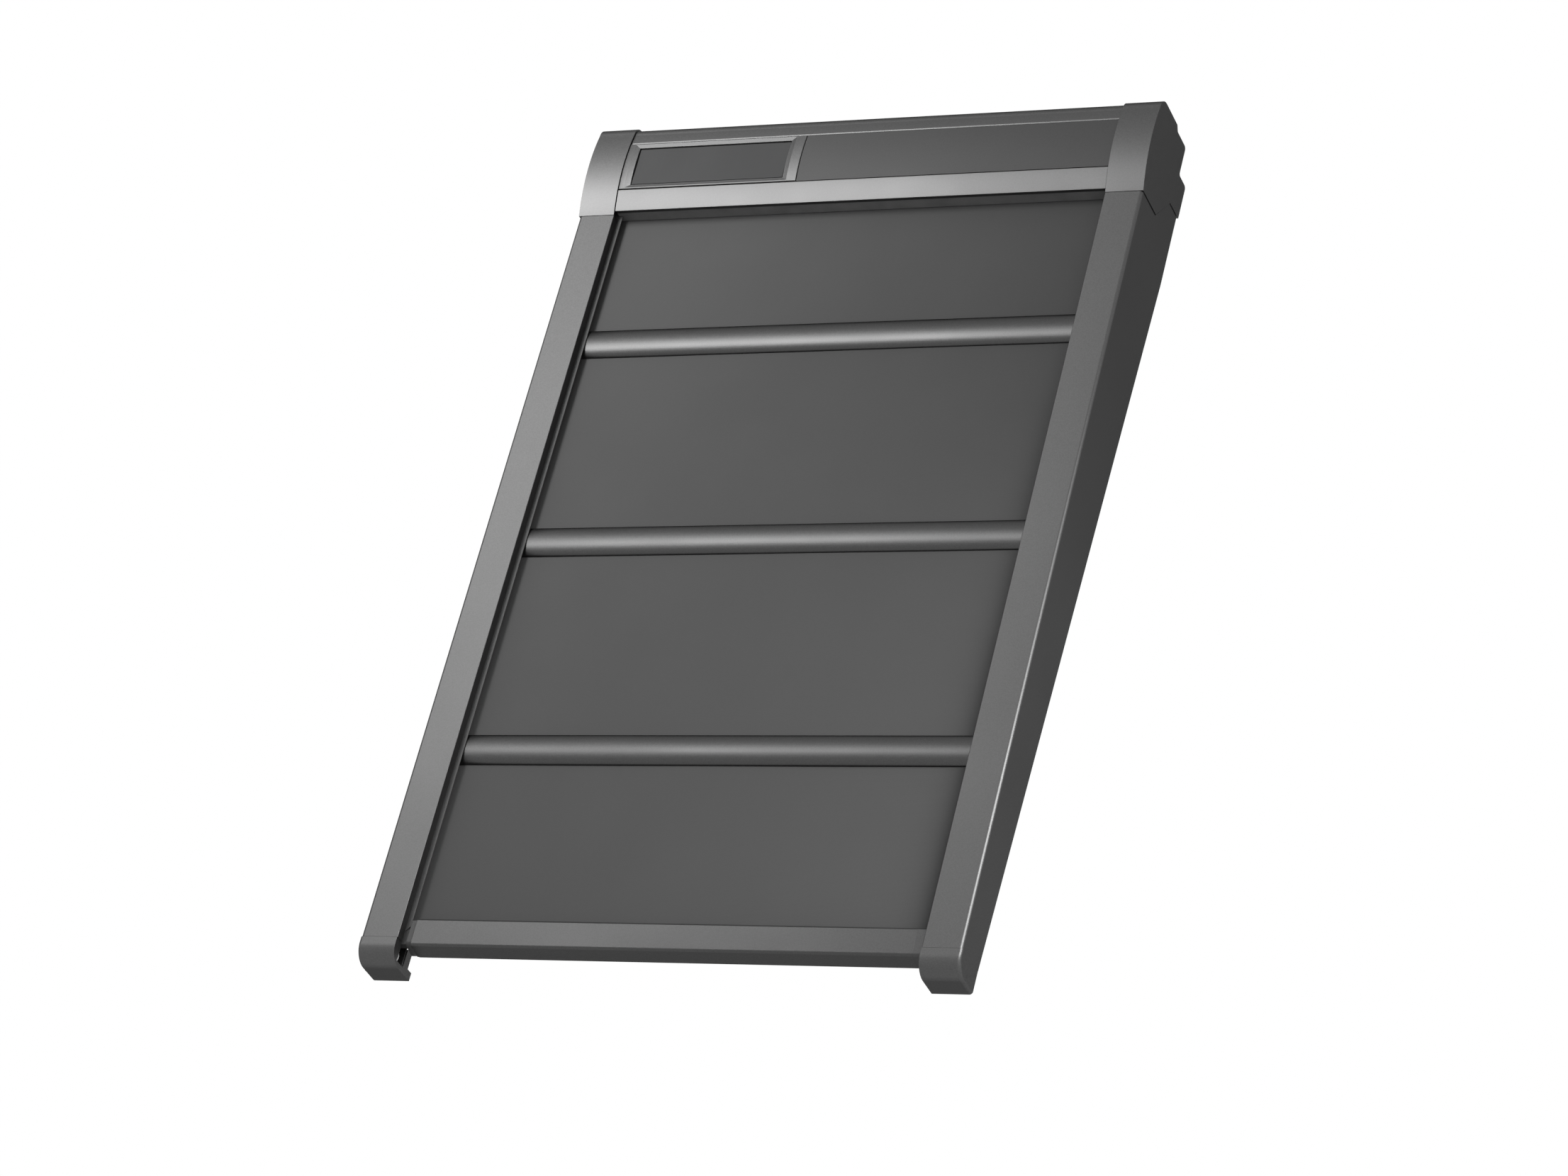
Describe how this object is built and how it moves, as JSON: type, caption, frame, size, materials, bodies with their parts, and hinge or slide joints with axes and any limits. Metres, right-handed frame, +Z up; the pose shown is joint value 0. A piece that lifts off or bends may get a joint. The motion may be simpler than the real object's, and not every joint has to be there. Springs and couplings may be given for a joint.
{
  "type": "roof window roller shutter",
  "caption": "Solar powered outdoor roller shutter for a roof window: tapering side rails, curved head box and a fabric curtain with stiffening bars and a bottom bar.",
  "frame": {"origin": "middle of the object's width and depth, at the underside of the foot caps", "axes": "+X to the right seen from outdoors, +Y in towards the roof, +Z up the slope; the rails' front faces lie in the plane y = -0.052"},
  "size_m": [0.8024, 0.13, 1.273],
  "materials": {
    "lacquered_metal": "dark grey metallic lacquer, satin, fine grain",
    "dark_lacquer": "dark grey lacquer, matt, fine grain",
    "curtain_fabric": "dense coated woven fabric, dark grey, matt",
    "black_plastic": "moulded, black, matt",
    "grey_plastic": "moulded, dark grey, matt",
    "pale_plastic": "moulded, pale grey, satin",
    "seal_rubber": "black, matt",
    "plated_steel": "zinc plated, satin",
    "panel_glass": "clear smooth glass over dark solar cells, seen as opaque",
    "cord_braid": "black braided cord, matt",
    "lead_sheath": "black round lead, matt"
  },
  "bodies": {
    "frame": {"head_hood": "lacquered_metal", "head_base": "dark_lacquer", "front_strip": "lacquered_metal", "front_cover": "dark_lacquer", "solar_frame": "lacquered_metal", "solar_glass": "panel_glass", "slot_wiper": "seal_rubber", "tubular_motor": "dark_lacquer", "idler_pin": "plated_steel", "battery_pack": "black_plastic", "control_unit": "grey_plastic", "solar_lead": "lead_sheath", "motor_lead": "lead_sheath", "fabric_top": "curtain_fabric", "side_rail_right": "lacquered_metal", "side_rail_left": "lacquered_metal", "guide_channel_right": "grey_plastic", "guide_channel_left": "grey_plastic", "foot_cap_right": "lacquered_metal", "foot_cap_left": "lacquered_metal", "foot_screw_right": "plated_steel", "foot_screw_left": "plated_steel", "pulley_pin_right": "plated_steel", "pulley_pin_left": "plated_steel", "head_cap_right": "lacquered_metal", "head_cap_left": "lacquered_metal", "side_plate_right": "plated_steel", "side_plate_left": "plated_steel", "return_cord_right": "cord_braid", "return_cord_left": "cord_braid", "pull_cord_right": "cord_braid", "pull_cord_left": "cord_braid"},
    "bottom_bar": {"bottom_bar": "lacquered_metal", "bottom_seal": "seal_rubber", "bottom_shoe_right": "grey_plastic", "bottom_shoe_left": "grey_plastic"},
    "bar_lower": {"bar_lower": "lacquered_metal", "fabric_lower": "curtain_fabric", "bar_plug_lower_right": "grey_plastic", "bar_plug_lower_left": "grey_plastic"},
    "bar_middle": {"bar_middle": "lacquered_metal", "fabric_middle": "curtain_fabric", "bar_plug_middle_right": "grey_plastic", "bar_plug_middle_left": "grey_plastic"},
    "bar_upper": {"bar_upper": "lacquered_metal", "fabric_upper": "curtain_fabric", "bar_plug_upper_right": "grey_plastic", "bar_plug_upper_left": "grey_plastic"},
    "roller": {"roller_tube": "plated_steel", "curtain_roll": "curtain_fabric", "drive_crown": "black_plastic", "crown_ring": "black_plastic", "idler_plug": "black_plastic"},
    "cord_reel_right": {"cord_reel_right": "black_plastic"},
    "cord_pulley_right": {"cord_pulley_right": "pale_plastic"},
    "cord_reel_left": {"cord_reel_left": "black_plastic"},
    "cord_pulley_left": {"cord_pulley_left": "pale_plastic"}
  },
  "joints": [
    {"name": "curtain_travel", "type": "slide", "parent": "frame", "child": "bottom_bar", "axis": [0, 0, 1], "range_m": [0, 1.065], "deforming": ["fabric_lower", "pull_cord_right", "pull_cord_left"]},
    {"name": "bar_lower_travel", "type": "slide", "parent": "frame", "child": "bar_lower", "axis": [0, 0, 1], "range_m": [0, 0.8381], "deforming": ["fabric_middle"]},
    {"name": "bar_middle_travel", "type": "slide", "parent": "frame", "child": "bar_middle", "axis": [0, 0, 1], "range_m": [0, 0.5726], "deforming": ["fabric_upper"]},
    {"name": "bar_upper_travel", "type": "slide", "parent": "frame", "child": "bar_upper", "axis": [0, 0, 1], "range_m": [0, 0.3071], "deforming": ["fabric_top"]},
    {"name": "roller_spin", "type": "hinge", "parent": "frame", "child": "roller", "pos_m": [0, 0.013, 1.188], "axis": [1, 0, 0], "range_deg": [-2036, 0]},
    {"name": "cord_reel_right_spin", "type": "hinge", "parent": "frame", "child": "cord_reel_right", "pos_m": [0.374, 0.013, 1.188], "axis": [1, 0, 0], "range_deg": [0, 1566]},
    {"name": "cord_reel_left_spin", "type": "hinge", "parent": "frame", "child": "cord_reel_left", "pos_m": [-0.374, 0.013, 1.188], "axis": [1, 0, 0], "range_deg": [0, 1566]},
    {"name": "cord_pulley_right_spin", "type": "hinge", "parent": "frame", "child": "cord_pulley_right", "pos_m": [0.364, -0.0325, 0.0155], "axis": [0, 1, 0], "range_deg": [0, 6104]},
    {"name": "cord_pulley_left_spin", "type": "hinge", "parent": "frame", "child": "cord_pulley_left", "pos_m": [-0.364, -0.0325, 0.0155], "axis": [0, 1, 0], "range_deg": [-6104, 0]}
  ],
  "couplings": [
    {"joint": "bar_lower_travel", "follows": "curtain_travel", "ratio": 0.78685},
    {"joint": "bar_middle_travel", "follows": "curtain_travel", "ratio": 0.53756},
    {"joint": "bar_upper_travel", "follows": "curtain_travel", "ratio": 0.28826},
    {"joint": "roller_spin", "follows": "curtain_travel", "rad_per_m": -33.333},
    {"joint": "cord_reel_right_spin", "follows": "curtain_travel", "rad_per_m": 25.641},
    {"joint": "cord_reel_left_spin", "follows": "curtain_travel", "rad_per_m": 25.641},
    {"joint": "cord_pulley_right_spin", "follows": "curtain_travel", "rad_per_m": 100},
    {"joint": "cord_pulley_left_spin", "follows": "curtain_travel", "rad_per_m": -100}
  ]
}
